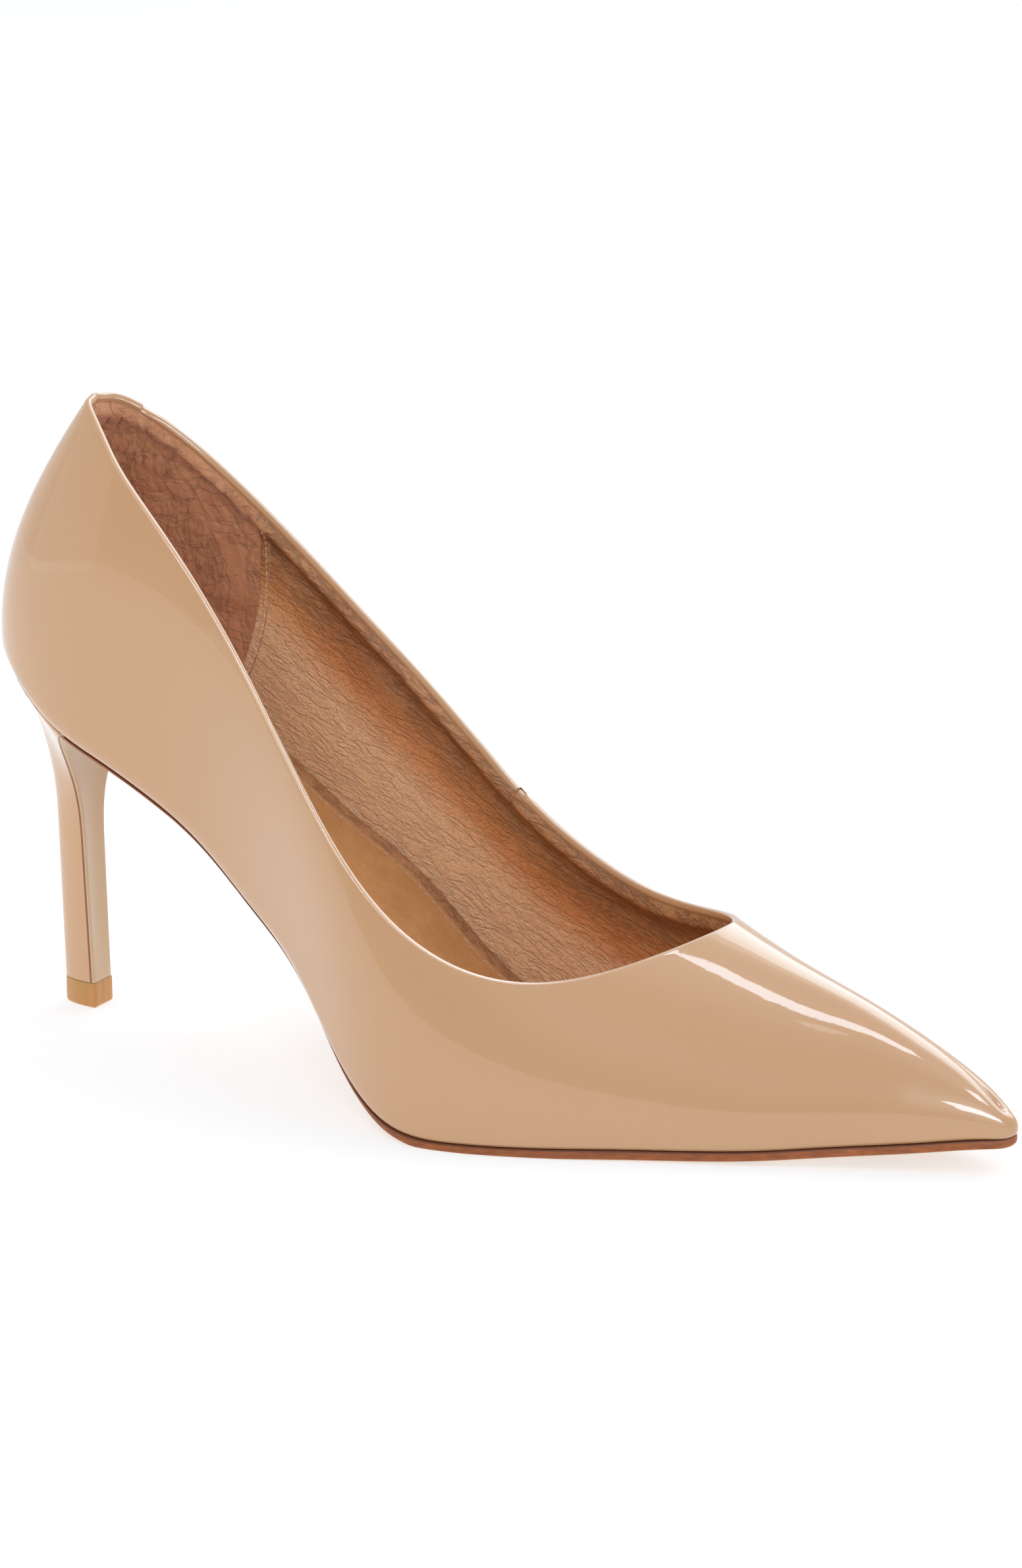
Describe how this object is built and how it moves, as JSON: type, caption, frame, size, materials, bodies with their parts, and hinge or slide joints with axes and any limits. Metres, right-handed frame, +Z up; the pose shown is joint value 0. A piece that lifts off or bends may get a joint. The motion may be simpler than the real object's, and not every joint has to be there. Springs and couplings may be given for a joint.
{
  "type": "high heel pump",
  "caption": "Right-foot pointed-toe stiletto pump: patent leather upper with turned top line, leather lining, padded sock, thin outsole and covered slim heel.",
  "frame": {"origin": "on the floor, under the middle of the shoe's length and width", "axes": "+X to the toe, +Y to the inner (medial) side of the foot, +Z up"},
  "size_m": [0.2462, 0.0775, 0.1418],
  "materials": {
    "patent": "glossy patent",
    "patent_fold": "glossy patent",
    "lining": "satin",
    "grip": "suede",
    "thread": "matte",
    "tape": "matte",
    "counter": "matte",
    "backing": "matte",
    "puff": "matte",
    "board": "matte",
    "steel": "satin",
    "cork": "matte",
    "foam": "matte",
    "sock": "satin",
    "insert": "suede",
    "sole": "satin",
    "heel_plastic": "matte",
    "heel_patent": "glossy patent",
    "flap": "satin",
    "tip_rubber": "satin"
  },
  "bodies": {
    "root": {"vamp_and_outer_quarter": "patent", "inner_quarter": "patent", "topline_fold_outer": "patent_fold", "topline_fold_inner": "patent_fold", "topline_tape": "tape", "heel_counter": "counter", "upper_backing": "backing", "toe_puff": "puff", "vamp_lining": "lining", "outer_quarter_lining": "lining", "inner_quarter_lining": "lining", "heel_grip_lining": "grip", "heel_grip_stitching": "thread", "insole_board": "board", "shank": "steel", "shank_rivets": "steel", "ball_filler": "cork", "cushion_foam": "foam", "sock_lining": "sock", "forepart_insert": "insert", "insert_stitching": "thread", "outsole": "sole", "heel_block": "heel_plastic", "heel_core_tube": "steel", "heel_cover": "heel_patent", "heel_breast_flap": "flap", "top_lift": "tip_rubber", "top_lift_pin": "steel", "heel_screw": "steel", "heel_nails": "steel"}
  },
  "joints": []
}
